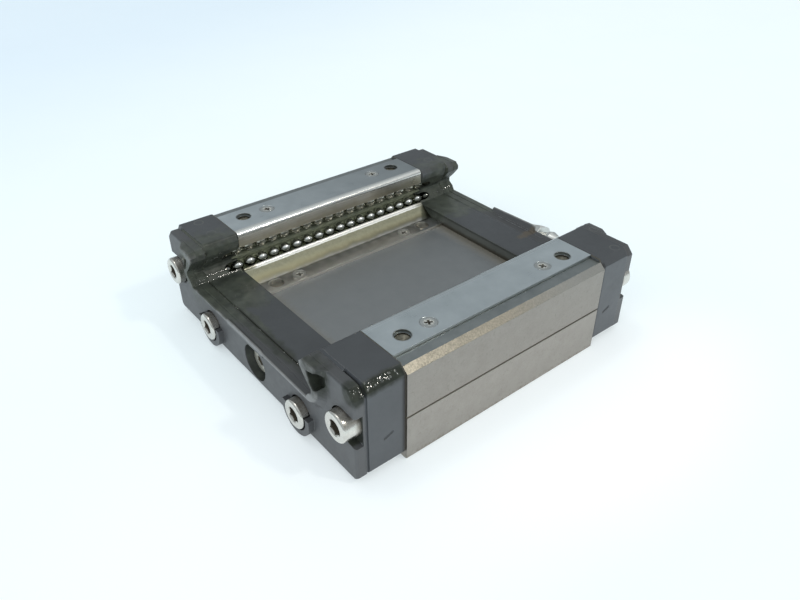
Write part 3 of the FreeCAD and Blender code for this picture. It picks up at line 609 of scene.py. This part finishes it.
# -------------------------------------------------------- sheet-steel pieces
k = Mat("sheet_steel")
lines = k.noise(1.0, 3.0, 0.6, stretch=(0.04, 7.0, 7.0))
mott = k.noise(0.15, 4.0, 0.55, shift=(2, 5, 3))
spots = k.noise(1.1, 4.0, 0.7, shift=(9, 1, 4))
flat_top = k.step(k.nz, 0.93, 0.985)
flange = k.mul(k.step(k.ay, 32.2, 31.6), k.step(k.z, 29.6, 29.0))
bend = k.mul(k.step(k.ay, 33.4, 32.6), k.step(k.z, 28.6, 29.2))
top_c = k.mixc(k.lin(mott, 0.3, 0.7, 0.0, 1.0), (0.432, 0.475, 0.492),
               (0.505, 0.549, 0.566))
top_c = k.mixc(k.mul(k.step(spots, 0.64, 0.80), 0.30), top_c, (0.30, 0.31, 0.30))
inner_c = k.mixc(k.step(k.add(k.z, k.mul(k.math("SUBTRACT", mott, 0.5), 4.0)),
                        29.2, 26.0), (0.60, 0.58, 0.53), (0.42, 0.39, 0.31))
inner_c = k.mixc(k.mul(k.step(lines, 0.52, 0.62), 0.35), inner_c, (0.30, 0.275, 0.22))
top_c = k.tint(top_c, k.mixf(k.step(k.y, -1.0, 1.0), k.lin(k.x, -10.0, 36.0, 1.0, 1.12),
                             k.lin(k.x, -36.0, 36.0, 1.12, 0.64)))
inner_c = k.tint(inner_c, k.mul(k.lin(k.x, -36.0, 0.0, 1.26, 1.0),
                                k.lin(k.x, 0.0, 36.0, 0.97, 1.55)))
col = k.mixc(flange, top_c, inner_c)
# painted highlight: the bend is painted pale, much more on the far sheet than on the near one
col = k.mixc(k.mul(bend, k.lin(k.step(k.y, -1.0, 1.0), 0.0, 1.0, 0.1, 0.8)), col,
             (0.82, 0.81, 0.77))
# grime around the holes and the small screws
qx = k.math("MINIMUM", k.math("ABSOLUTE", k.math("SUBTRACT", k.ax, 29.67)),
            k.math("ABSOLUTE", k.math("SUBTRACT", k.ax, 21.2)))
qy = k.math("SUBTRACT", k.ay, 39.76)
qr = k.math("SQRT", k.add(k.mul(qx, qx), k.mul(qy, qy)))
ring = k.mul(k.step(k.add(qr, k.mul(spots, 0.6)), 3.0, 2.45), flat_top)
col = k.mixc(k.mul(ring, 0.75), col, (0.15, 0.135, 0.105))
bev = k.soft_edges(0.12)
ro = k.add(0.31, k.mul(k.math("SUBTRACT", mott, 0.5), 0.16),
           k.mul(k.math("SUBTRACT", lines, 0.5), 0.10))
k.set(Base_Color=col, Metallic=1.0, Roughness=k.mixf(bend, ro, 0.22))
k.set(Normal=k.bump(k.add(k.mul(lines, 0.45), k.mul(spots, 0.2)), 0.16, 0.02, bev))
give(k, "leg_retainer_left", "leg_retainer_right")

k = Mat("floor_sheet")
lines = k.noise(1.0, 3.0, 0.6, stretch=(0.04, 7.0, 7.0))
mott = k.noise(0.2, 4.0, 0.55, shift=(1, 3, 8))
spots = k.noise(0.9, 4.0, 0.7, shift=(7, 7, 2))
wob = k.mul(k.math("SUBTRACT", mott, 0.5), 2.0)
wing = k.step(k.add(k.ay, wob), 23.9, 26.6)
hem = k.mul(k.step(k.add(k.ay, k.mul(k.math("SUBTRACT", spots, 0.5), 0.5)), 29.45, 29.75),
            k.lin(k.step(k.ax, 35.2, 31.5), 0.0, 1.0, 0.35, 1.0),
            k.lin(k.step(k.x, -31.0, -34.0), 0.0, 1.0, 1.0, 0.25))
# soft stripes where the balls are mirrored in the flat part
rows = k.math("SINE", k.mul(k.x, 2 * math.pi / 4.3))
flat_c = k.mixc(k.lin(mott, 0.3, 0.7, 0.0, 1.0), (0.42, 0.423, 0.418),
                (0.51, 0.512, 0.505))
flat_c = k.tint(flat_c, k.lin(k.x, -5.0, 32.0, 0.97, 1.08))
flat_c = k.tint(flat_c, k.lin(k.mul(rows, k.step(k.ay, 21.5, 23.5)), -1.0, 1.0,
                              0.90, 1.10))
# painted highlight: the edge faces of the flat part towards the channel are painted pale
edge_face = k.mul(k.step(k.math("ABSOLUTE", k.ny), 0.6, 0.85), k.step(k.ay, 21.0, 20.0))
flat_c = k.mixc(edge_face, flat_c, (0.62, 0.60, 0.56))
wing_c = k.mixc(k.lin(spots, 0.3, 0.7, 0.0, 1.0), (0.225, 0.217, 0.152),
                (0.295, 0.285, 0.205))
cream = k.mul(k.step(k.add(k.ay, wob), 28.6, 26.4),
              k.lin(k.x, -34.0, 10.0, 1.0, 0.55))
wing_c = k.mixc(cream, wing_c, (0.395, 0.358, 0.226))
# painted shade: the wing is darker towards the fold, most at the rear end, and lighter near the hem
wing_c = k.tint(wing_c, k.mixf(k.step(k.add(k.ay, wob), 25.6, 28.0),
                               k.lin(k.x, -34.0, 30.0, 0.68, 0.34), 1.12))
# painted highlight: a paler band along the fold
fold = k.band(k.ay, 24.75, 25.25, 0.25)
col = k.mixc(wing, flat_c, wing_c)
col = k.mixc(k.mul(fold, 0.25), col, (0.42, 0.40, 0.34))
# painted highlight on the hem: painted near white and partly non-metallic, fading towards the ends;
# the hem is also the polished fold of the sheet
col = k.mixc(k.mul(hem, k.lin(spots, 0.62, 0.72, 1.0, 0.45)), col, (0.93, 0.92, 0.87))
qx = k.math("MINIMUM", k.math("ABSOLUTE", k.math("SUBTRACT", k.ax, 29.85)),
            k.math("ABSOLUTE", k.math("SUBTRACT", k.ax, 21.5)))
qy = k.math("SUBTRACT", k.ay, 22.3)
qr = k.math("SQRT", k.add(k.mul(qx, qx), k.mul(qy, qy)))
ring = k.mul(k.step(k.add(qr, k.mul(spots, 0.5)), 3.0, 2.45),
             k.step(k.ay, 25.5, 24.9))
col = k.mixc(k.mul(ring, 0.35), col, (0.19, 0.175, 0.125))
# painted highlight: bright rim of the holes, on the side away from the channel
rx = k.math("SUBTRACT", k.ax, 29.85)
rq = k.math("SQRT", k.add(k.mul(rx, rx), k.mul(qy, qy)))
rim = k.mul(k.band(rq, 2.1, 2.72, 0.10), k.step(qy, 0.2, 1.3), k.step(k.ay, 25.5, 24.9))
col = k.mixc(k.mul(rim, 0.8), col, (0.90, 0.89, 0.84))
# oil on the rear end of the left sheet
tip = k.mul(k.step(k.add(k.x, k.mul(k.math("SUBTRACT", 30.0, k.ay), 0.75),
                         k.mul(k.math("SUBTRACT", spots, 0.5), 1.6)), 35.2, 36.6),
            k.step(k.ay, 24.0, 25.5))
col = k.mixc(k.mul(tip, 0.85), col, (0.055, 0.058, 0.040))
bev = k.soft_edges(0.12)
ro = k.add(0.32, k.mul(k.math("SUBTRACT", mott, 0.5), 0.18),
           k.mul(k.math("SUBTRACT", lines, 0.5), 0.12))
k.set(Base_Color=col, Metallic=k.mixf(hem, 1.0, 0.55), Roughness=k.mixf(hem, ro, 0.27))
k.set(Normal=k.bump(k.add(k.mul(lines, 0.6), k.mul(spots, 0.3)), 0.18, 0.02, bev))
give(k, "floor_retainer_left", "floor_retainer_right")


# ------------------------------------------------------------ bright pieces
def plated(name, tone, dark, rough, dark_tone=(0.045, 0.042, 0.034), dark_metal=0.55,
           dull_and_glint_tone=None):
    k = Mat(name)
    mott = k.noise(0.7, 4.0, 0.6)
    fine = k.noise(4.0, 3.0, 0.6)
    col = k.mixc(k.lin(mott, 0.35, 0.65, 0.0, 1.0), tuple(c * 0.86 for c in tone),
                 tone)
    bev = k.soft_edges(0.12)
    k.dark = dark(k, mott)
    metal = 1.0
    if dull_and_glint_tone:
        # painted glints round the recess; the flush heads in the floor are duller
        floor_row = k.step(k.ay, 31.0, 29.0)
        a = k.math("SUBTRACT", k.ax, k.mixf(floor_row, 21.2, 21.5))
        b = k.math("SUBTRACT", k.ay, k.mixf(floor_row, 39.76, 22.3))
        q = k.math("SQRT", k.add(k.mul(a, a), k.mul(b, b)))
        glint = k.mul(k.step(q, 1.75, 1.15), k.step(fine, 0.44, 0.56), 0.8)
        dull = k.mul(floor_row, 0.9)
        col = k.mixc(dull, col, tuple(c * 0.40 for c in dull_and_glint_tone))
        col = k.mixc(glint, col, dull_and_glint_tone)
        metal = k.mixf(k.top(glint, dull), 1.0, 0.55)
    col = k.mixc(k.dark, col, dark_tone)
    k.set(Base_Color=col, Metallic=k.mixf(k.dark, metal, dark_metal),
          Roughness=k.mixf(k.dark, k.add(rough, k.mul(fine, 0.10)), 0.42))
    k.set(Normal=k.bump(k.add(fine, k.mul(mott, 0.6)), 0.10, 0.02, bev))
    return k


def socket_oil_and_shade(k, mott):
    """Dark in the hexagon sockets, on the seat of the heads and along their upper side: old oil and
    painted shade.
    """
    def r_of(y, z):
        a = k.math("SUBTRACT", k.ay, y)
        b = k.math("SUBTRACT", k.z, z)
        return k.math("SQRT", k.add(k.mul(a, a), k.mul(b, b)))
    r = k.math("MINIMUM", r_of(44.2, 17.4), r_of(24.5, 7.0))
    deep = k.step(k.ax, 53.7, 53.2)
    inside = k.mul(k.step(r, 2.45, 2.25), deep)
    seat = k.mul(k.step(k.ax, 51.0, 49.6), k.lin(mott, 0.3, 0.6, 0.35, 0.8))
    brow = k.mul(k.step(k.nz, 0.25, 0.65), k.step(k.ax, 53.6, 53.2),
                 k.lin(mott, 0.35, 0.6, 0.15, 0.75))
    return k.top(inside, seat, brow)


bright = plated("bright_nickel", (0.72, 0.70, 0.65), socket_oil_and_shade, 0.17,
                (0.115, 0.100, 0.076), 0.7)
give(bright, "end_screws_front", "end_screws_rear")


# darker in the hexagon socket of the plug
def plug_socket_dark(k, mott):
    a = k.math("SQRT", k.add(k.mul(k.y, k.y),
                             k.mul(k.math("SUBTRACT", k.z, 7.2),
                                   k.math("SUBTRACT", k.z, 7.2))))
    return k.mul(k.step(a, 1.75, 1.55), k.step(k.ax, 49.2, 49.0))


plug = plated("plug_nickel", (0.92, 0.89, 0.79), plug_socket_dark, 0.34,
              (0.22, 0.20, 0.15), 0.8)
give(plug, "grease_plug_front")


# darker below the top face of each small screw head
def cross_dark(k, mott):
    low = k.top(k.mul(k.step(k.z, 30.36, 30.28), k.step(k.z, 25.0, 26.0)),
                k.mul(k.step(k.z, 14.2, 14.1), 1.0))
    return k.mul(low, k.lin(mott, 0.3, 0.7, 0.75, 1.0))


small = plated("small_screw_plating", (0.46, 0.475, 0.465), cross_dark, 0.20,
               (0.115, 0.105, 0.080), 0.7, (0.70, 0.685, 0.62))
give(small, "leg_retainer_screws_left", "leg_retainer_screws_right",
     "floor_retainer_screws_left", "floor_retainer_screws_right")


def nipple_dirt(k, mott):
    return k.mul(k.step(k.x, 52.5, 50.0), k.step(mott, 0.35, 0.6))


nip = plated("nipple_plating", (0.68, 0.685, 0.66), nipple_dirt, 0.24)
give(nip, "grease_nipple")


# -------------------------------------------------------------------- balls
def balls(name, lo, hi, oily, amount, rough, shade_and_highlight):
    k = Mat(name)
    mott = k.noise(0.9, 4.0, 0.6)
    smear = k.noise(0.5, 3.0, 0.6, stretch=(1.0, 2.0, 2.0), shift=(3, 3, 3))
    oil = k.mul(k.step(smear, 0.42, 0.66), amount)
    col = k.mixc(k.lin(mott, 0.35, 0.65, 0.0, 1.0), lo, hi)
    col = k.mixc(oil, col, oily)
    # painted shade: a dark belt round each ball stands for the dark surroundings mirrored in its
    # lower half
    belt = k.mul(k.band(k.add(k.nz, k.mul(k.math("SUBTRACT", smear, 0.5), 0.5)), -0.70, 0.50, 0.15),
                 shade_and_highlight)
    col = k.mixc(belt, col, (0.255, 0.265, 0.220))
    # painted highlight: a pale crown on top of each ball
    crown = k.mul(k.step(k.nz, 0.48, 0.68), shade_and_highlight)
    col = k.mixc(crown, col, (0.90, 0.90, 0.88))
    # thick oil and painted shade where the rows enter the caps
    ends = k.top(k.mul(k.step(k.x, 36.0, 37.4), k.step(k.x, 60.0, 58.0)),
                 k.step(k.x, -39.6, -41.0))
    col = k.mixc(k.mul(ends, 0.85), col, (0.05, 0.052, 0.038))
    k.set(Base_Color=col, Metallic=1.0,
          Roughness=k.add(rough, k.mul(k.step(mott, 0.45, 0.7), 0.08)))
    k.set(Normal=k.bump(smear, 0.04, 0.03))
    return k


low_balls = balls("ball_steel", (0.56, 0.56, 0.545), (0.66, 0.66, 0.645),
                  (0.34, 0.335, 0.27), 0.6, 0.11, 0.85)
give(low_balls, *[n for n in nodes if n.startswith("balls_") and "lower" in n],
     "grease_nipple_ball")
high_balls = balls("ball_steel_oily", (0.43, 0.425, 0.36), (0.53, 0.52, 0.45),
                   (0.28, 0.27, 0.20), 0.6, 0.12, 0.0)
give(high_balls, *[n for n in nodes if n.startswith("balls_") and "upper" in n])


# --------------------------------------------- old oil in joints and in drops
def solid(name, faces_a, xa, faces_b, xb, mat):
    """Closed loft between two outlines given as (y, z) in millimetres."""
    n = len(faces_a)
    verts = [(xa / 1000, y / 1000, z / 1000) for y, z in faces_a] + \
            [(xb / 1000, y / 1000, z / 1000) for y, z in faces_b]
    faces = [tuple(range(n)), tuple(range(2 * n - 1, n - 1, -1))]
    faces += [(i, i + n, (i + 1) % n + n, (i + 1) % n) for i in range(n)]
    me = bpy.data.meshes.new(name)
    me.from_pydata(verts, [], faces)
    me.validate()
    bm = bmesh.new()
    bm.from_mesh(me)
    bmesh.ops.recalc_face_normals(bm, faces=bm.faces)
    bm.to_mesh(me)
    bm.free()
    me.materials.append(mat.m)
    o = bpy.data.objects.new(name, me)
    scene.collection.objects.link(o)
    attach(o, "block")
    return o


oil_mat = Mat("old_oil")
on = oil_mat.noise(0.8, 3.0)
dark_oil = oil_mat.mixc(on, (0.012, 0.0145, 0.0100), (0.026, 0.028, 0.017))
clear_oil = oil_mat.mixc(on, (0.028, 0.0325, 0.0265), (0.054, 0.0595, 0.046))
oil_mat.set(Base_Color=oil_mat.mixc(oil_mat.step(oil_mat.y, 8.0, 17.0), dark_oil, clear_oil),
            Roughness=oil_mat.lin(on, 0.3, 0.7, 0.10, 0.24))
oil_mat.set(Normal=oil_mat.bump(oil_mat.noise(2.0, 2.0), 0.35, 0.08))

grime = Mat("joint_grime")
gn = grime.noise(1.2, 3.0)
grime.set(Base_Color=grime.mixc(gn, (0.045, 0.044, 0.036), (0.095, 0.090, 0.074)),
          Roughness=0.5)
grime.set(Normal=grime.bump(gn, 0.3, 0.05))

# between end cap and seal
INNER = [(31.2, 29.68), (29.72, 28.5), (29.72, 26.9), (32.0, 24.15), (34.0, 22.0),
         (34.0, 20.6), (32.25, 19.35), (31.3, 17.70)]
FAR = INNER + [(36.0, 17.0), (40.0, 23.0), (45.0, 26.0), (45.0, 29.68)]
FAR_CAP = [(31.4, 30.2), (30.2, 28.5), (30.4, 26.6), (32.4, 23.3), (33.9, 21.8),
           (33.9, 20.6), (32.45, 19.25), (31.1, 17.60)] + \
          [(36.0, 17.0), (40.0, 23.0), (45.0, 26.0), (45.0, 30.2)]
solid("joint_oil_front_left", FAR, -48.43, FAR_CAP, -47.77, oil_mat)
solid("joint_oil_rear_left", FAR, 48.43, FAR_CAP, 47.77, oil_mat)
NEAR = [(-31.0, 29.70), (-41.0, 29.70), (-41.0, 28.5), (-31.5, 28.0), (-29.7, 28.4)]
NEAR_CAP = [(-31.5, 30.35), (-41.0, 30.35), (-41.0, 28.5), (-31.5, 28.0), (-30.4, 28.8)]
solid("joint_oil_front_right", NEAR, -48.43, NEAR_CAP, -47.77, cap)
NEAR_R = [(-31.0, 29.70), (-46.0, 29.70), (-46.0, 28.5), (-31.5, 28.0), (-29.7, 28.4)]
NEAR_R_CAP = [(-31.5, 30.35), (-46.0, 30.35), (-46.0, 28.5), (-31.5, 28.0), (-30.4, 28.8)]
solid("joint_oil_rear_right", NEAR_R, 48.43, NEAR_R_CAP, 47.77, cap)
BAR = [(-31.5, 16.6), (31.5, 16.6), (31.5, 17.36), (-31.5, 17.36)]
solid("joint_oil_front_bar", BAR, -48.43, BAR, -47.77, oil_mat)
BAR_R = [(-31.2, 16.6), (31.2, 16.6), (31.2, 17.72), (-31.2, 17.72)]
BAR_R_CAP = [(-31.2, 16.6), (31.2, 16.6), (31.2, 17.59), (-31.2, 17.59)]
solid("joint_oil_rear_bar", BAR_R, 48.43, BAR_R_CAP, 47.77, cap)
SIDE = [(48.1, 2.9), (49.02, 2.9), (49.02, 26.9), (48.1, 27.2)]
for sx, end in ((-1, "front"), (1, "rear")):
    for sy, hand in ((-1, "right"), (1, "left")):
        q = [(sy * y, z) for y, z in SIDE]
        solid("seal_joint_%s_%s" % (end, hand), q, sx * 48.43, q, sx * 47.77, cap)

# between end cap and steel
LINE = [(49.33, 2.7), (49.33, 28.0), (47.6, 30.33), (31.9, 30.33), (31.9, 29.75),
        (47.3, 29.75), (48.8, 27.8), (48.8, 2.7)]
for sx, end in ((-1, "front"), (1, "rear")):
    for sy, hand in ((-1, "right"), (1, "left")):
        q = [(sy * y, z) for y, z in LINE]
        solid("cap_joint_%s_%s" % (end, hand), q, sx * 36.52, q, sx * 36.84, grime)

EDGE = [(-30.9, 16.95), (30.9, 16.95), (30.9, 17.57), (-30.9, 17.57)]
for sx, end in ((-1, "front"), (1, "rear")):
    solid("bar_joint_" + end, EDGE, sx * 36.5, EDGE, sx * 36.88, cap)

rng = random.Random(11)
spots_at = []


def drop(x, y, z, n, r, flat=0.42):
    spots_at.append((Vector((x, y, z)), Vector(n).normalized(), r, flat))


def bead(x, y, z, r, lean):
    """Shallow drop that sags towards the right side of the block."""
    n = Vector([c + rng.uniform(-0.05, 0.05) for c in lean]).normalized()
    lift = 0.12
    drop(x + n[0] * lift, y + n[1] * lift, z + n[2] * lift, n, r, 0.075)


SAG_RIGHT = (-0.047, -0.646, 0.763)
SAG_LEFT = (0.022, -0.736, 0.677)
SAG_BAR = (0.013, -0.702, 0.712)
SAG_REAR = (-0.145, -0.719, 0.680)


def size(lo, hi):
    return lo + (hi - lo) * rng.random() ** 2.2


for i in range(46):                       # outer bevel, right leg, front cap
    t = rng.uniform(0.25, 0.86)
    drop(-rng.uniform(38.0, 47.4), -(49.45 - 1.75 * t), 28.1 + 2.35 * t,
         (0, -0.80, 0.60), size(0.09, 0.36))
for i in range(10):                       # the same edge of the seal
    t = rng.uniform(0.1, 0.9)
    drop(-rng.uniform(48.6, 51.0), -(49.1 - 2.2 * t), 27.3 + 2.45 * t,
         (0, -0.74, 0.67), size(0.09, 0.30))
for i in range(26):                       # inner corner, left leg, front cap
    drop(-rng.uniform(37.2, 47.6), 31.25 + rng.uniform(-0.15, 0.25),
         17.85 + rng.uniform(-0.1, 0.2), (0, -0.7, 0.7), size(0.12, 0.42))
for i in range(18):
    drop(-rng.uniform(41.6, 47.6), 32.35 + rng.uniform(-0.2, 0.2),
         18.95 + rng.uniform(-0.2, 0.2), (0, -0.7, 0.7), size(0.12, 0.45))
for i in range(16):
    drop(-rng.uniform(48.6, 52.0), 31.75 + rng.uniform(-0.3, 0.3), 18.6, (0, -0.86, 0.5),
         size(0.12, 0.40))
for i in range(18):                       # left end of the front bar
    drop(-rng.uniform(37.5, 52.0), rng.uniform(8.0, 30.0), 17.62, (0, 0, 1),
         size(0.09, 0.26))
for i in range(20):                       # joint of the front bar
    drop(-48.1 + rng.uniform(-0.2, 0.2), rng.uniform(-26.0, 26.0), 17.36, (0, 0, 1),
         size(0.12, 0.30))
for i in range(14):                       # face above the left inner corner
    t = rng.uniform(0.0, 1.0)
    drop(-rng.uniform(41.6, 47.5), 30.7 + 1.9 * t, 26.4 - 3.4 * t, (0, -0.87, -0.49),
         size(0.10, 0.30))
for i in range(14):                       # rear inner corner
    drop(rng.uniform(41.6, 51.0), 32.2 + rng.uniform(-0.3, 0.3), 18.9, (0, -0.7, 0.7),
         size(0.10, 0.34))

for i in range(10):
    t = rng.uniform(0.35, 0.84)
    bead(-rng.uniform(38.4, 47.2), -(49.48 - 1.75 * t), 28.15 + 2.35 * t,
         rng.uniform(0.11, 0.26), SAG_RIGHT)
for i in range(4):
    t = rng.uniform(0.2, 0.9)
    bead(-rng.uniform(48.7, 50.8), -(49.13 - 2.2 * t), 27.35 + 2.45 * t,
         rng.uniform(0.10, 0.20), SAG_RIGHT)
for i in range(26):
    bead(-rng.uniform(37.4, 51.5), 31.2 + rng.uniform(-0.1, 0.15),
         17.95 + rng.uniform(-0.1, 0.1), size(0.08, 0.24), SAG_LEFT)
for i in range(30):
    bead(-rng.uniform(41.4, 51.0), 32.3 + rng.uniform(-0.12, 0.12),
         19.05 + rng.uniform(-0.12, 0.12), size(0.08, 0.26), SAG_LEFT)
for i in range(5):
    bead(-48.1 + rng.uniform(-0.15, 0.15), rng.uniform(-27.0, 14.0), 17.45,
         rng.uniform(0.10, 0.18), SAG_BAR)
for i in range(6):
    bead(rng.uniform(48.7, 52.4), 32.2 + rng.uniform(-0.4, 0.6), 19.4, rng.uniform(0.14, 0.28),
         SAG_REAR)

verts, faces = [], []
SEG, RINGS = 10, 4
for c, n, r, flat in spots_at:
    a = n.orthogonal().normalized()
    b = n.cross(a)
    base = len(verts)
    tall = flat * r
    for j in range(RINGS):
        phi = math.pi / 2 * (1 - j / RINGS)
        for i in range(SEG):
            th = 2 * math.pi * i / SEG
            v = c + (a * math.cos(th) + b * math.sin(th)) * (r * math.sin(phi)) \
                + n * (tall * math.cos(phi) - (0.25 if j == 0 else 0.0))
            verts.append(v / 1000)
    verts.append((c + n * tall) / 1000)
    apex = len(verts) - 1
    for j in range(RINGS - 1):
        for i in range(SEG):
            i2 = (i + 1) % SEG
            faces.append((base + j * SEG + i, base + j * SEG + i2,
                          base + (j + 1) * SEG + i2, base + (j + 1) * SEG + i))
    j = RINGS - 1
    for i in range(SEG):
        faces.append((base + j * SEG + i, base + j * SEG + (i + 1) % SEG, apex))
    faces.append(tuple(base + i for i in range(SEG - 1, -1, -1)))
me = bpy.data.meshes.new("oil_drops")
me.from_pydata([tuple(v) for v in verts], [], faces)
me.validate()
for p in me.polygons:
    p.use_smooth = len(p.vertices) < SEG
drop_mat = Mat("oil_drop")
dn = drop_mat.noise(0.6, 2.0)
drop_mat.set(Base_Color=drop_mat.mixc(dn, (0.013, 0.015, 0.009), (0.034, 0.033, 0.018)),
             Roughness=drop_mat.lin(dn, 0.3, 0.7, 0.16, 0.24), Coat_Weight=1.0,
             Coat_IOR=2.2, Coat_Roughness=0.18)
me.materials.append(drop_mat.m)
drops = bpy.data.objects.new("oil_drops", me)
scene.collection.objects.link(drops)
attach(drops, "block")
